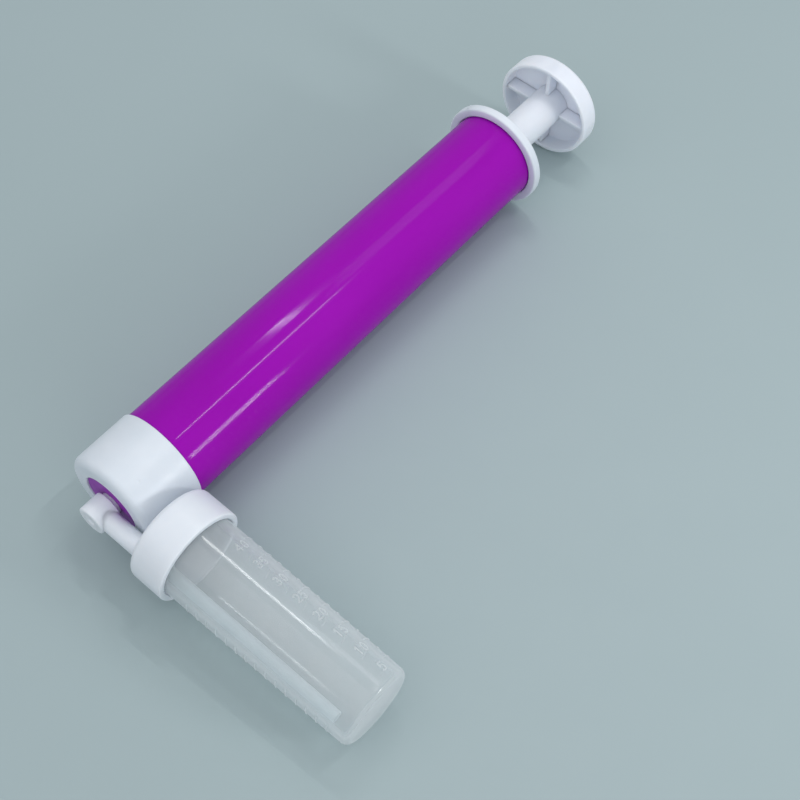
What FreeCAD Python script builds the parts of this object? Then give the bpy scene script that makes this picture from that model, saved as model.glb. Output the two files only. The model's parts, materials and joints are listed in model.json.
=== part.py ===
"""Hand-pumped powder and colour sprayer: a piston pump with a spray head and a graduated jar.

Frame: +X runs along the pump from the nozzle to the handle, the jar hangs off the spray head
towards -Y, and +Z is up with the sprayer lying on a table.  Lengths are in millimetres.
A station is a distance along the pump, counted from the front plane of the front cap.
"""
import FreeCAD, Part
import os

import Sketcher

DIMENSIONS = {
    # purple barrel
    "barrel_od": 35.0, "barrel_id": 31.0, "barrel_station": 5.0, "barrel_length": 195.1,
    "barrel_neck_od": 33.2,
    # front cap
    "cap_od": 36.6, "cap_length": 23.2, "cap_wall": 2.4, "cap_window": 22.0, "cap_round": 3.0,
    "edge_break": 0.4,
    # outlet plug behind the cap's window; its lengths count from its front face
    "plug_station": 0.6, "plug_face_od": 21.8, "plug_flange_front": 1.8, "plug_flange_back": 4.4,
    "plug_od": 30.9, "plug_length": 12.4, "plug_socket_od": 8.1, "plug_socket_depth": 8.6,
    "plug_port_od": 3.0, "plug_groove_front": 6.9, "plug_groove_back": 9.1,
    "plug_groove_od": 27.2, "plug_ring_wire": 0.92,
    # rear cap: flange, cored sleeve and rod guide
    "flange_od": 41.8, "flange_thick": 3.5, "flange_recess": 1.0, "flange_recess_od": 35.5,
    "flange_round": 0.7, "flange_web": 2.5, "sleeve_length": 12.0, "sleeve_od": 30.9,
    "sleeve_id": 27.6, "guide_od": 17.6, "guide_bore": 14.5, "guide_inset": 2.0,
    "gate_mark_od": 2.4, "gate_mark_sink": 0.9, "gate_mark_inset": 0.7, "gate_mark_turn": 40.0,
    # plunger rod and the plug in its front end
    "rod_od": 14.4, "rod_id": 11.2, "rod_plug_face": 1.4, "rod_plug_length": 16.0,
    "screw_pilot_od": 3.0,
    # piston: rubber cup washer between two discs, held by a screw
    "seal_station": 43.6, "seal_length": 6.4, "seal_base": 1.4, "seal_od": 30.9,
    "seal_lip": 0.9, "seal_root": 1.6, "seal_hole_od": 3.2, "backing_thick": 2.6,
    "backing_od": 29.6, "washer_thick": 2.0, "washer_od": 26.4, "washer_round": 0.6,
    "screw_head_od": 7.6, "screw_head_height": 2.4, "screw_reach": 15.0, "screw_tip": 1.6,
    "screw_slot": 1.0, "screw_slot_depth": 1.2,
    # handle
    "handle_station": 231.7, "handle_od": 40.2, "handle_thick": 8.6, "handle_disc": 2.0,
    "handle_skirt": 1.5, "handle_boss_od": 11.1, "handle_boss_reach": 8.0, "handle_round": 2.0,
    "rib_thick": 1.6, "rib_setback": 1.2, "rib_count": 4.0,
    # spray head: knob and swivel spigot, measured from the stem's axis
    "stem_station": -4.3, "head_droop": 3.2, "knob_od": 10.8, "knob_front": 4.3,
    "knob_back": 3.9, "knob_round": 0.6, "spigot_od": 8.0, "spigot_end": 13.3,
    "spigot_groove_front": 8.6, "spigot_groove_back": 9.6, "spigot_groove_od": 6.2,
    "spigot_ring_wire": 0.44, "tip_seat_od": 6.0, "tip_seat_depth": 2.4, "chamber_od": 3.2,
    "jet_front": 1.7, "jet_back": 4.0, "jet_od": 1.2, "air_bore": 3.0,
    "tip_mouth_od": 3.4, "tip_throat": 1.0, "tip_orifice": 1.8,
    # stem, foot and tail, measured down from the nozzle's axis
    "stem_od": 7.2, "stem_foot": 20.4, "foot_od": 10.6, "foot_thick": 1.2, "tail_od": 6.8,
    "tail_end": 30.4, "suction_bore": 2.6, "tube_seat": 22.4,
    # lid, gasket and dip tube
    "jar_offset": 9.9, "lid_od": 35.0, "lid_height": 14.2, "lid_top": 2.2, "lid_bore": 30.8,
    "lid_round": 2.2, "lid_rim_round": 0.6, "gasket_od": 30.7, "gasket_id": 27.2,
    "gasket_thick": 0.8, "tube_od": 4.6, "tube_id": 3.2, "tube_end": 105.7,
    # jar, measured down from its mouth
    "jar_mouth": 23.5, "jar_height": 85.75, "jar_bead_od": 30.66, "jar_bead": 2.4,
    "jar_mouth_od": 30.1, "jar_base_od": 28.6, "jar_mouth_id": 28.0, "jar_floor_id": 26.6,
    "jar_floor": 1.5, "jar_base_round": 2.6, "jar_floor_round": 1.6,
    # graduation ridges: one every 2.5 ml from 5 ml to 40 ml, on both flanks of the jar
    "tick_lowest": 77.9, "tick_pitch": 4.12, "tick_width": 0.5, "tick_proud": 0.25,
    "tick_root": 14.0, "tick_angle": 70.0, "tick_count": 15.0,
}

doc = FreeCAD.newDocument("hand_sprayer")
sheet = doc.addObject("Spreadsheet::Sheet", "Dims")
for row, (alias, number) in enumerate(DIMENSIONS.items(), start=1):
    sheet.set("A%d" % row, alias)
    sheet.set("B%d" % row, str(number))
    sheet.setAlias("B%d" % row, alias)
doc.recompute()

# Places that several pieces share, as expressions over the sheet.
BARREL_END = "(Dims.barrel_station + Dims.barrel_length)"
SEAL_BACK = "(Dims.seal_station + Dims.seal_length)"
ROD_FRONT = "(%s + Dims.backing_thick + Dims.rod_plug_face)" % SEAL_BACK
HANDLE_BACK = "(Dims.handle_station + Dims.handle_thick)"
LID_FRONT = "(Dims.stem_station + Dims.jar_offset - Dims.lid_od / 2)"
JAR_BASE = "(Dims.jar_mouth + Dims.jar_height)"

# The frame's origin is the middle of the sprayer's footprint, on the table.  The lid reaches
# furthest towards -X and the rounded corner of the jar's base towards -Y; the flange sets +Y and
# rests on the table.
FRONT_X = "(-(%s + %s) / 2)" % (HANDLE_BACK, LID_FRONT)
AXIS_Z = "(Dims.flange_od / 2)"
JAR_REACH = ("((%s - Dims.jar_base_round) * cos(Dims.head_droop)"
             " + (Dims.jar_base_od / 2 - Dims.jar_base_round) * sin(Dims.head_droop)"
             " + Dims.jar_base_round)" % JAR_BASE)
AXIS_Y = "((%s - Dims.flange_od / 2) / 2)" % JAR_REACH


def half(alias):
    """Expression for half of a sheet value: a radius from a diameter."""
    return "Dims.%s / 2" % alias


def near(number, target):
    return abs(number - target) < 0.02


def origin_feature(body, role):
    """The body's own origin plane or axis with this role."""
    return [item for item in body.Origin.OriginFeatures if item.Role == role][0]


def pump_body(label, station):
    """Body whose local X axis is the pump's axis, with its origin at a station."""
    body = doc.addObject("PartDesign::Body", label)
    body.Label = label
    body.setExpression("Placement.Base.x", "%s + %s" % (FRONT_X, station))
    body.setExpression("Placement.Base.y", AXIS_Y)
    body.setExpression("Placement.Base.z", AXIS_Z)
    return body


def head_body(label, sideways="0", drop="0"):
    """Body that droops with the spray head: local -Y runs down the stem, local X along the nozzle.

    Its origin lies `drop` below the nozzle's axis and `sideways` from the stem's axis.
    """
    body = doc.addObject("PartDesign::Body", label)
    body.Label = label
    body.Placement.Rotation = FreeCAD.Rotation(FreeCAD.Vector(1, 0, 0), sheet.head_droop)
    body.setExpression("Placement.Rotation.Angle", "Dims.head_droop")
    body.setExpression("Placement.Base.x", "%s + Dims.stem_station + %s" % (FRONT_X, sideways))
    body.setExpression("Placement.Base.y", "%s - (%s) * cos(Dims.head_droop)" % (AXIS_Y, drop))
    body.setExpression("Placement.Base.z", "%s - (%s) * sin(Dims.head_droop)" % (AXIS_Z, drop))
    return body


def new_sketch(body, name, role):
    """Empty sketch on one of the body's own origin planes."""
    sketch = body.newObject("Sketcher::SketchObject", name)
    sketch.AttachmentSupport = (origin_feature(body, role), [""])
    sketch.MapMode = "FlatFace"
    return sketch


def hold_point(sketch, geometry, position, place):
    """Constrain a sketch point to a place given as two expressions."""
    for axis, kind, expression in ((-2, "DistanceX", place[0]), (-1, "DistanceY", place[1])):
        if expression == "0":
            sketch.addConstraint(Sketcher.Constraint("PointOnObject", geometry, position, axis))
            continue
        number = sketch.evalExpression(expression)
        held = sketch.addConstraint(
            Sketcher.Constraint(kind, -1, 1, geometry, position, number))
        sketch.setExpression("Constraints[%d]" % held, expression)


def polygon(body, name, corners, role="XY_Plane"):
    """Closed sketch of straight edges through corners given as pairs of expressions."""
    sketch = new_sketch(body, name, role)
    points = [FreeCAD.Vector(sketch.evalExpression(across), sketch.evalExpression(up), 0)
              for across, up in corners]
    for index, point in enumerate(points):
        following = points[(index + 1) % len(points)]
        sketch.addGeometry(Part.LineSegment(point, following), False)
    for index in range(len(points)):
        following = (index + 1) % len(points)
        sketch.addConstraint(Sketcher.Constraint("Coincident", index, 2, following, 1))
    for index, corner in enumerate(corners):
        hold_point(sketch, index, 1, corner)
    return sketch


def disc(body, name, centre, radius, role="XY_Plane"):
    """Sketch of one circle with its centre and radius given as expressions."""
    sketch = new_sketch(body, name, role)
    middle = FreeCAD.Vector(sketch.evalExpression(centre[0]), sketch.evalExpression(centre[1]), 0)
    size = sketch.evalExpression(radius)
    sketch.addGeometry(Part.Circle(middle, FreeCAD.Vector(0, 0, 1), size), False)
    held = sketch.addConstraint(Sketcher.Constraint("Radius", 0, size))
    sketch.setExpression("Constraints[%d]" % held, radius)
    hold_point(sketch, 0, 3, centre)
    return sketch


def turn(body, sketch, axis, feature="PartDesign::Revolution"):
    """Turn a half section right round the sketch's H_Axis or V_Axis."""
    solid = body.newObject(feature, sketch.Name + "_turned")
    solid.Profile = sketch
    solid.ReferenceAxis = (sketch, [axis])
    solid.Angle = 360
    doc.recompute()
    return solid


def round_rims(body, name, size, wanted):
    """Fillet the circular edges that wanted(radius, centre) picks, in the body's own frame."""
    base = body.Tip
    picked = []
    for index, edge in enumerate(base.Shape.Edges, start=1):
        if isinstance(edge.Curve, Part.Circle) and wanted(edge.Curve.Radius, edge.Curve.Center):
            picked.append("Edge%d" % index)
    rounded = body.newObject("PartDesign::Fillet", name)
    rounded.Base = (base, picked)
    rounded.setExpression("Radius", size)
    doc.recompute()
    return rounded


# ------------------------------------------------------------ pump: barrel and end fittings

def make_barrel():
    """Tube with a stepped neck that the front cap closes over."""
    body = pump_body("pump_barrel", "Dims.barrel_station")
    shoulder = "Dims.cap_length - Dims.barrel_station"
    section = polygon(body, "barrel_section", [
        ("0", half("barrel_id")),
        ("0", half("barrel_neck_od")),
        (shoulder, half("barrel_neck_od")),
        (shoulder, half("barrel_od")),
        ("Dims.barrel_length", half("barrel_od")),
        ("Dims.barrel_length", half("barrel_id")),
    ])
    turn(body, section, "H_Axis")
    return body


def make_front_cap():
    """Cup-shaped cap with a rounded nose and a round window that shows the outlet plug."""
    body = pump_body("front_cap", "0")
    section = polygon(body, "front_cap_section", [
        ("0", half("cap_window")),
        ("0", half("cap_od")),
        ("Dims.cap_length", half("cap_od")),
        ("Dims.cap_length", half("barrel_neck_od")),
        ("Dims.cap_wall", half("barrel_neck_od")),
        ("Dims.cap_wall", half("cap_window")),
    ])
    turn(body, section, "H_Axis")
    round_rims(body, "front_cap_nose", "Dims.cap_round",
               lambda radius, centre: near(radius, sheet.cap_od / 2) and near(centre.x, 0))
    round_rims(body, "front_cap_edges", "Dims.edge_break",
               lambda radius, centre: near(radius, sheet.cap_window / 2) and near(centre.x, 0)
               or near(radius, sheet.cap_od / 2) and near(centre.x, sheet.cap_length))
    return body


def make_outlet_plug():
    """Stepped plug: face in the window, clamped flange, ring groove and the swivel's socket."""
    body = pump_body("outlet_plug", "Dims.plug_station")
    section = polygon(body, "outlet_plug_section", [
        ("0", half("plug_socket_od")),
        ("0", half("plug_face_od")),
        ("Dims.plug_flange_front", half("plug_face_od")),
        ("Dims.plug_flange_front", half("barrel_neck_od")),
        ("Dims.plug_flange_back", half("barrel_neck_od")),
        ("Dims.plug_flange_back", half("plug_od")),
        ("Dims.plug_groove_front", half("plug_od")),
        ("Dims.plug_groove_front", half("plug_groove_od")),
        ("Dims.plug_groove_back", half("plug_groove_od")),
        ("Dims.plug_groove_back", half("plug_od")),
        ("Dims.plug_length", half("plug_od")),
        ("Dims.plug_length", half("plug_port_od")),
        ("Dims.plug_socket_depth", half("plug_port_od")),
        ("Dims.plug_socket_depth", half("plug_socket_od")),
    ])
    turn(body, section, "H_Axis")
    return body


def ring_in_groove(body, groove, wire):
    """Round-section sealing ring in the middle of the groove whose sheet names start alike."""
    middle = "(Dims.%s_front + Dims.%s_back) / 2" % (groove, groove)
    section = disc(body, body.Label + "_section",
                   (middle, "Dims.%s_od / 2 + Dims.%s" % (groove, wire)), "Dims." + wire)
    turn(body, section, "H_Axis")
    return body


def make_rear_cap():
    """Flange over the barrel's end, with a cored sleeve inside and the bore that guides the rod."""
    body = pump_body("rear_cap", "%s - Dims.sleeve_length" % BARREL_END)
    front = "(Dims.sleeve_length - Dims.flange_recess)"
    back = "(%s + Dims.flange_thick)" % front
    section = polygon(body, "rear_cap_section", [
        ("0", half("sleeve_id")),
        ("0", half("sleeve_od")),
        ("Dims.sleeve_length", half("sleeve_od")),
        ("Dims.sleeve_length", half("flange_recess_od")),
        (front, half("flange_recess_od")),
        (front, half("flange_od")),
        (back, half("flange_od")),
        (back, half("guide_bore")),
        ("Dims.guide_inset", half("guide_bore")),
        ("Dims.guide_inset", half("guide_od")),
        ("%s - Dims.flange_web" % back, half("guide_od")),
        ("%s - Dims.flange_web" % back, half("sleeve_id")),
    ])
    turn(body, section, "H_Axis")
    round_rims(body, "flange_rims", "Dims.flange_round",
               lambda radius, centre: near(radius, sheet.flange_od / 2))
    reach = "(Dims.flange_od / 2 - Dims.gate_mark_sink)"
    mark = disc(body, "gate_mark_section",
                ("%s * sin(Dims.gate_mark_turn)" % reach, "%s * cos(Dims.gate_mark_turn)" % reach),
                half("gate_mark_od"), "YZ_Plane")
    mark.setExpression("AttachmentOffset.Base.z", "%s + Dims.gate_mark_inset" % front)
    pad = body.newObject("PartDesign::Pad", "gate_mark")
    pad.Profile = mark
    pad.setExpression("Length", "Dims.flange_thick - 2 * Dims.gate_mark_inset")
    doc.recompute()
    return body


# ------------------------------------------------------------ plunger: rod, piston and handle

def make_rod():
    """Plain tube between the piston and the handle's palm disc."""
    body = pump_body("plunger_rod", ROD_FRONT)
    length = "%s - Dims.handle_disc - %s" % (HANDLE_BACK, ROD_FRONT)
    section = polygon(body, "plunger_rod_section", [
        ("0", half("rod_id")),
        ("0", half("rod_od")),
        (length, half("rod_od")),
        (length, half("rod_id")),
    ])
    turn(body, section, "H_Axis")
    return body


def make_rod_plug():
    """Plug in the front end of the rod, with the pilot hole for the piston screw."""
    body = pump_body("rod_plug", "%s - Dims.rod_plug_face" % ROD_FRONT)
    section = polygon(body, "rod_plug_section", [
        ("0", half("screw_pilot_od")),
        ("0", half("rod_od")),
        ("Dims.rod_plug_face", half("rod_od")),
        ("Dims.rod_plug_face", half("rod_id")),
        ("Dims.rod_plug_length", half("rod_id")),
        ("Dims.rod_plug_length", half("screw_pilot_od")),
    ])
    turn(body, section, "H_Axis")
    return body


def make_piston_seal():
    """Rubber cup washer: a flat base and a lip that opens towards the outlet."""
    body = pump_body("piston_seal", "Dims.seal_station")
    cup_floor = "Dims.seal_length - Dims.seal_base"
    section = polygon(body, "piston_seal_section", [
        ("0", "Dims.seal_od / 2 - Dims.seal_lip"),
        ("0", half("seal_od")),
        (cup_floor, half("seal_od")),
        ("Dims.seal_length", "(Dims.seal_od - Dims.seal_base) / 2"),
        ("Dims.seal_length", half("seal_hole_od")),
        (cup_floor, half("seal_hole_od")),
        (cup_floor, "Dims.seal_od / 2 - Dims.seal_root"),
    ])
    turn(body, section, "H_Axis")
    return body


def make_piston_disc(label, station, thick, diameter, both_sides):
    """Stiff disc with a screw hole and a rounded outer edge, on one side or both."""
    body = pump_body(label, station)
    section = polygon(body, label + "_section", [
        ("0", half("seal_hole_od")),
        ("0", half(diameter)),
        ("Dims." + thick, half(diameter)),
        ("Dims." + thick, half("seal_hole_od")),
    ])
    turn(body, section, "H_Axis")
    outer = sheet.get(diameter) / 2
    round_rims(body, label + "_edge", "Dims.washer_round",
               lambda radius, centre: near(radius, outer) and (both_sides or near(centre.x, 0)))
    return body


def make_piston_screw(station):
    """Pan-head screw with a driver slot, run into the rod plug."""
    body = pump_body("piston_screw", station)
    shank_end = "(Dims.screw_head_height + Dims.screw_reach)"
    section = polygon(body, "piston_screw_section", [
        ("0", "0"),
        ("0", "Dims.screw_head_od / 2 - Dims.screw_slot"),
        ("Dims.screw_slot", half("screw_head_od")),
        ("Dims.screw_head_height", half("screw_head_od")),
        ("Dims.screw_head_height", half("screw_pilot_od")),
        (shank_end, half("screw_pilot_od")),
        ("%s + Dims.screw_tip" % shank_end, "0"),
    ])
    turn(body, section, "H_Axis")
    slot = polygon(body, "screw_slot_outline", [
        ("-Dims.screw_slot / 2", "-Dims.screw_head_od"),
        ("Dims.screw_slot / 2", "-Dims.screw_head_od"),
        ("Dims.screw_slot / 2", "Dims.screw_head_od"),
        ("-Dims.screw_slot / 2", "Dims.screw_head_od"),
    ], "YZ_Plane")
    cut = body.newObject("PartDesign::Pocket", "screw_slot_cut")
    cut.Profile = slot
    cut.Reversed = True
    cut.setExpression("Length", "Dims.screw_slot_depth")
    doc.recompute()
    return body


def make_handle():
    """Palm disc with a skirt, four stiffening ribs and a boss that plugs into the rod."""
    body = pump_body("handle_knob", "Dims.handle_station - Dims.handle_boss_reach")
    back = "(Dims.handle_boss_reach + Dims.handle_thick)"
    disc_front = "%s - Dims.handle_disc" % back
    skirt_inside = "Dims.handle_od / 2 - Dims.handle_skirt"
    section = polygon(body, "handle_section", [
        ("0", "0"),
        ("0", half("handle_boss_od")),
        (disc_front, half("handle_boss_od")),
        (disc_front, skirt_inside),
        ("Dims.handle_boss_reach", skirt_inside),
        ("Dims.handle_boss_reach", half("handle_od")),
        (back, half("handle_od")),
        (back, "0"),
    ])
    turn(body, section, "H_Axis")
    palm = sheet.handle_boss_reach + sheet.handle_thick
    round_rims(body, "handle_palm_edge", "Dims.handle_round",
               lambda radius, centre: near(radius, sheet.handle_od / 2) and near(centre.x, palm))
    round_rims(body, "handle_skirt_edges", "Dims.edge_break",
               lambda radius, centre: near(centre.x, sheet.handle_boss_reach)
               and radius > sheet.rod_od / 2)
    rib_front = "Dims.handle_boss_reach + Dims.rib_setback"
    rib_outside = "%s + Dims.handle_skirt / 2" % skirt_inside
    outline = polygon(body, "handle_rib_outline", [
        (rib_front, half("rod_od")),
        (disc_front + " + Dims.handle_disc / 2", half("rod_od")),
        (disc_front + " + Dims.handle_disc / 2", rib_outside),
        (rib_front, rib_outside),
    ])
    rib = body.newObject("PartDesign::Pad", "handle_rib")
    rib.Profile = outline
    rib.Midplane = True
    rib.setExpression("Length", "Dims.rib_thick")
    doc.recompute()
    ribs = body.newObject("PartDesign::PolarPattern", "handle_ribs")
    ribs.Originals = [rib]
    ribs.Axis = (origin_feature(body, "X_Axis"), [""])
    ribs.Angle = 360
    ribs.setExpression("Occurrences", "Dims.rib_count")
    body.Tip = ribs
    doc.recompute()
    return body


# ------------------------------------------------------------ spray head

def make_spray_elbow():
    """Nozzle knob, swivel spigot, stem, foot and tail in one moulding, with its passages."""
    body = head_body("spray_elbow")
    nozzle = polygon(body, "nozzle_section", [
        ("-Dims.knob_front", "0"),
        ("-Dims.knob_front", half("knob_od")),
        ("Dims.knob_back", half("knob_od")),
        ("Dims.knob_back", half("spigot_od")),
        ("Dims.spigot_groove_front", half("spigot_od")),
        ("Dims.spigot_groove_front", half("spigot_groove_od")),
        ("Dims.spigot_groove_back", half("spigot_groove_od")),
        ("Dims.spigot_groove_back", half("spigot_od")),
        ("Dims.spigot_end", half("spigot_od")),
        ("Dims.spigot_end", "0"),
    ])
    turn(body, nozzle, "H_Axis")
    round_rims(body, "knob_edges", "Dims.knob_round",
               lambda radius, centre: near(radius, sheet.knob_od / 2))
    stem = polygon(body, "stem_section", [
        ("0", "0"),
        (half("stem_od"), "0"),
        (half("stem_od"), "Dims.foot_thick - Dims.stem_foot"),
        (half("foot_od"), "Dims.foot_thick - Dims.stem_foot"),
        (half("foot_od"), "-Dims.stem_foot"),
        (half("tail_od"), "-Dims.stem_foot"),
        (half("tail_od"), "-Dims.tail_end"),
        ("0", "-Dims.tail_end"),
    ])
    turn(body, stem, "V_Axis")
    seat = "Dims.tip_seat_depth - Dims.knob_front"
    air = polygon(body, "air_passage", [
        ("-Dims.knob_front", "0"),
        ("-Dims.knob_front", half("tip_seat_od")),
        (seat, half("tip_seat_od")),
        (seat, half("chamber_od")),
        ("Dims.jet_front", half("chamber_od")),
        ("Dims.jet_front", half("jet_od")),
        ("Dims.jet_back", half("jet_od")),
        ("Dims.jet_back", half("air_bore")),
        ("Dims.spigot_end", half("air_bore")),
        ("Dims.spigot_end", "0"),
    ])
    turn(body, air, "H_Axis", "PartDesign::Groove")
    suction = polygon(body, "suction_passage", [
        ("0", "0"),
        (half("suction_bore"), "0"),
        (half("suction_bore"), "-Dims.tube_seat"),
        (half("tube_od"), "-Dims.tube_seat"),
        (half("tube_od"), "-Dims.tail_end"),
        ("0", "-Dims.tail_end"),
    ])
    turn(body, suction, "V_Axis", "PartDesign::Groove")
    return body


def make_nozzle_tip():
    """Insert in the knob's front with the flared spray orifice."""
    body = head_body("nozzle_tip")
    back = "Dims.tip_seat_depth - Dims.knob_front"
    section = polygon(body, "nozzle_tip_section", [
        ("-Dims.knob_front", half("tip_mouth_od")),
        ("-Dims.knob_front", half("tip_seat_od")),
        (back, half("tip_seat_od")),
        (back, half("tip_orifice")),
        ("Dims.tip_throat - Dims.knob_front", half("tip_orifice")),
    ])
    turn(body, section, "H_Axis")
    return body


def make_jar_lid():
    """Deep lid with a rounded shoulder; the stem's tail passes through it off centre."""
    body = head_body("jar_lid", "Dims.jar_offset", "Dims.stem_foot")
    section = polygon(body, "jar_lid_section", [
        ("0", "0"),
        (half("lid_od"), "0"),
        (half("lid_od"), "-Dims.lid_height"),
        (half("lid_bore"), "-Dims.lid_height"),
        (half("lid_bore"), "-Dims.lid_top"),
        ("0", "-Dims.lid_top"),
    ])
    turn(body, section, "V_Axis")
    round_rims(body, "lid_shoulder", "Dims.lid_round",
               lambda radius, centre: near(radius, sheet.lid_od / 2) and near(centre.y, 0))
    round_rims(body, "lid_rim", "Dims.lid_rim_round",
               lambda radius, centre: near(radius, sheet.lid_od / 2) and centre.y < -sheet.lid_top)
    hole = disc(body, "tail_hole_outline", ("-Dims.jar_offset", "0"), half("tail_od"), "XZ_Plane")
    cut = body.newObject("PartDesign::Pocket", "tail_hole")
    cut.Profile = hole
    cut.Midplane = True
    cut.setExpression("Length", "Dims.lid_top * 3")
    doc.recompute()
    return body


def make_tube(label, body, outside, inside, length):
    """Plain ring or tube that runs down from the body's origin."""
    section = polygon(body, label + "_section", [
        (half(inside), "0"),
        (half(outside), "0"),
        (half(outside), "-(%s)" % length),
        (half(inside), "-(%s)" % length),
    ])
    turn(body, section, "V_Axis")
    return body


def make_jar():
    """Tapered jar with a gripping bead at the mouth and raised graduation ridges."""
    body = head_body("graduated_jar", "Dims.jar_offset", "Dims.jar_mouth")
    section = polygon(body, "jar_section", [
        (half("jar_mouth_id"), "0"),
        (half("jar_bead_od"), "0"),
        (half("jar_bead_od"), "-Dims.jar_bead"),
        (half("jar_mouth_od"), "-Dims.jar_bead"),
        (half("jar_base_od"), "-Dims.jar_height"),
        ("0", "-Dims.jar_height"),
        ("0", "Dims.jar_floor - Dims.jar_height"),
        (half("jar_floor_id"), "Dims.jar_floor - Dims.jar_height"),
    ])
    turn(body, section, "V_Axis")
    round_rims(body, "jar_base_edge", "Dims.jar_base_round",
               lambda radius, centre: near(radius, sheet.jar_base_od / 2))
    round_rims(body, "jar_floor_edge", "Dims.jar_floor_round",
               lambda radius, centre: near(radius, sheet.jar_floor_id / 2))
    taper = "((Dims.jar_mouth_od - Dims.jar_base_od) / 2 / Dims.jar_height)"
    comb = []
    for index in range(int(sheet.tick_count)):
        level = "(Dims.tick_lowest - %d * Dims.tick_pitch)" % index
        crest = "Dims.jar_mouth_od / 2 + Dims.tick_proud - %s * %s" % (level, taper)
        lower = "-%s - Dims.tick_width / 2" % level
        upper = "-%s + Dims.tick_width / 2" % level
        root = "Dims.jar_mouth_od / 2 - Dims.tick_proud - %s * %s" % (level, taper)
        comb += [(root, lower), (crest, lower), (crest, upper), (root, upper)]
    comb += [("Dims.tick_root", upper), ("Dims.tick_root", comb[0][1])]
    teeth = polygon(body, "graduation_comb", comb)
    ridges = body.newObject("PartDesign::Revolution", "graduation_ridges")
    ridges.Profile = teeth
    ridges.ReferenceAxis = (teeth, ["V_Axis"])
    ridges.Midplane = True
    ridges.setExpression("Angle", "Dims.tick_angle")
    doc.recompute()
    flanks = body.newObject("PartDesign::PolarPattern", "graduation_flanks")
    flanks.Originals = [ridges]
    flanks.Axis = (origin_feature(body, "Y_Axis"), [""])
    flanks.Angle = 360
    flanks.Occurrences = 2
    body.Tip = flanks
    doc.recompute()
    return body


WASHER_FRONT = "(%s - Dims.seal_base - Dims.washer_thick)" % SEAL_BACK

parts = [
    make_barrel(),
    make_front_cap(),
    make_outlet_plug(),
    ring_in_groove(pump_body("plug_o_ring", "Dims.plug_station"), "plug_groove",
                   "plug_ring_wire"),
    make_rear_cap(),
    make_rod(),
    make_rod_plug(),
    make_piston_seal(),
    make_piston_disc("piston_backing", SEAL_BACK, "backing_thick", "backing_od", True),
    make_piston_disc("piston_washer", WASHER_FRONT, "washer_thick", "washer_od", False),
    make_piston_screw("%s - Dims.screw_head_height" % WASHER_FRONT),
    make_handle(),
    make_spray_elbow(),
    ring_in_groove(head_body("spigot_o_ring"), "spigot_groove", "spigot_ring_wire"),
    make_nozzle_tip(),
    make_jar_lid(),
    make_tube("lid_gasket", head_body("lid_gasket", "Dims.jar_offset",
                                      "Dims.stem_foot + Dims.lid_top"),
              "gasket_od", "gasket_id", "Dims.gasket_thick"),
    make_tube("dip_tube", head_body("dip_tube", "0", "Dims.tube_seat"),
              "tube_od", "tube_id", "Dims.tube_end - Dims.tube_seat"),
    make_jar(),
]

doc.recompute()
for item in doc.Objects:
    if "Invalid" in item.State or "Error" in item.State:
        raise RuntimeError("%s did not recompute: %s" % (item.Label, item.State))
for body in parts:
    if body.Shape.isNull() or not body.Shape.isValid() or len(body.Shape.Solids) != 1:
        raise RuntimeError("%s is not one valid solid" % body.Label)

os.makedirs("parts", exist_ok=True)
for body in parts:
    body.Shape.exportStep(os.path.join("parts", body.Label + ".step"))
    print("%-16s volume %10.2f mm3" % (body.Label, body.Shape.Volume))
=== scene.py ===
"""Looks of the hand-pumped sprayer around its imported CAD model.

Lengths in the profiles are in millimetres; lamps, camera and bump heights are in metres.  Pump
and plunger pieces are built in the pump's frame, whose x is the station behind the front cap's
front plane.  Head pieces are built in the spray head's frame, whose -y runs down the stem and
whose x is parallel to the pump.  The jar's frame is the head's, moved onto the jar's own axis.
"""

import json
import math

import bmesh
import bpy
import numpy as np
from mathutils import Matrix, Vector

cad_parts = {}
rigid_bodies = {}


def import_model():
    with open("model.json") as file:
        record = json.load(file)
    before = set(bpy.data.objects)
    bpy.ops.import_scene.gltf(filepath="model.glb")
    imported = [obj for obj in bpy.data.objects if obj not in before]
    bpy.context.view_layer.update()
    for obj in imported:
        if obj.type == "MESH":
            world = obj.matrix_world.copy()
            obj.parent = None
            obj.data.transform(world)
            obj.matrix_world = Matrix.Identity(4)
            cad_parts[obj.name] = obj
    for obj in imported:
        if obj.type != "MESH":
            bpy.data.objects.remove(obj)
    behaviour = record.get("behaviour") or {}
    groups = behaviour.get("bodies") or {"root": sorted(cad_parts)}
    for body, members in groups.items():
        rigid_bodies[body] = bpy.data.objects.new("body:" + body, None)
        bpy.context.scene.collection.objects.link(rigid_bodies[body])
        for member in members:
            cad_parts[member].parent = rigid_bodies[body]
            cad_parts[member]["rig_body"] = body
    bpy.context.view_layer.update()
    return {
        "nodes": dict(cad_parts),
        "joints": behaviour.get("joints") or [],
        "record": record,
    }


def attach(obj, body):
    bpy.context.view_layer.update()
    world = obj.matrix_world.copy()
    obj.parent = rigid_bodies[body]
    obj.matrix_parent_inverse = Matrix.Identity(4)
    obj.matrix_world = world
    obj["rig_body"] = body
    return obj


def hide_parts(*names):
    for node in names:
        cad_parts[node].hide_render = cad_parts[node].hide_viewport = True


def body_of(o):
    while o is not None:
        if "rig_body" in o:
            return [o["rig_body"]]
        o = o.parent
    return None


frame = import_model()

MM = 0.001
SLOTS = {row["node"]: row["material_slot"] for row in frame["record"]["subparts"]}
JOINTS = {joint["name"]: joint for joint in frame["joints"]}
STEM = Vector(JOINTS["spray_head_swivel"]["pos_m"])
DOWN = Vector(JOINTS["jar_pull_off"]["axis"]).normalized()
STEM_STATION = -4.3  # of the stem's axis
JAR_OFFSET = 9.9  # from the stem's axis to the jar's

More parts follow.
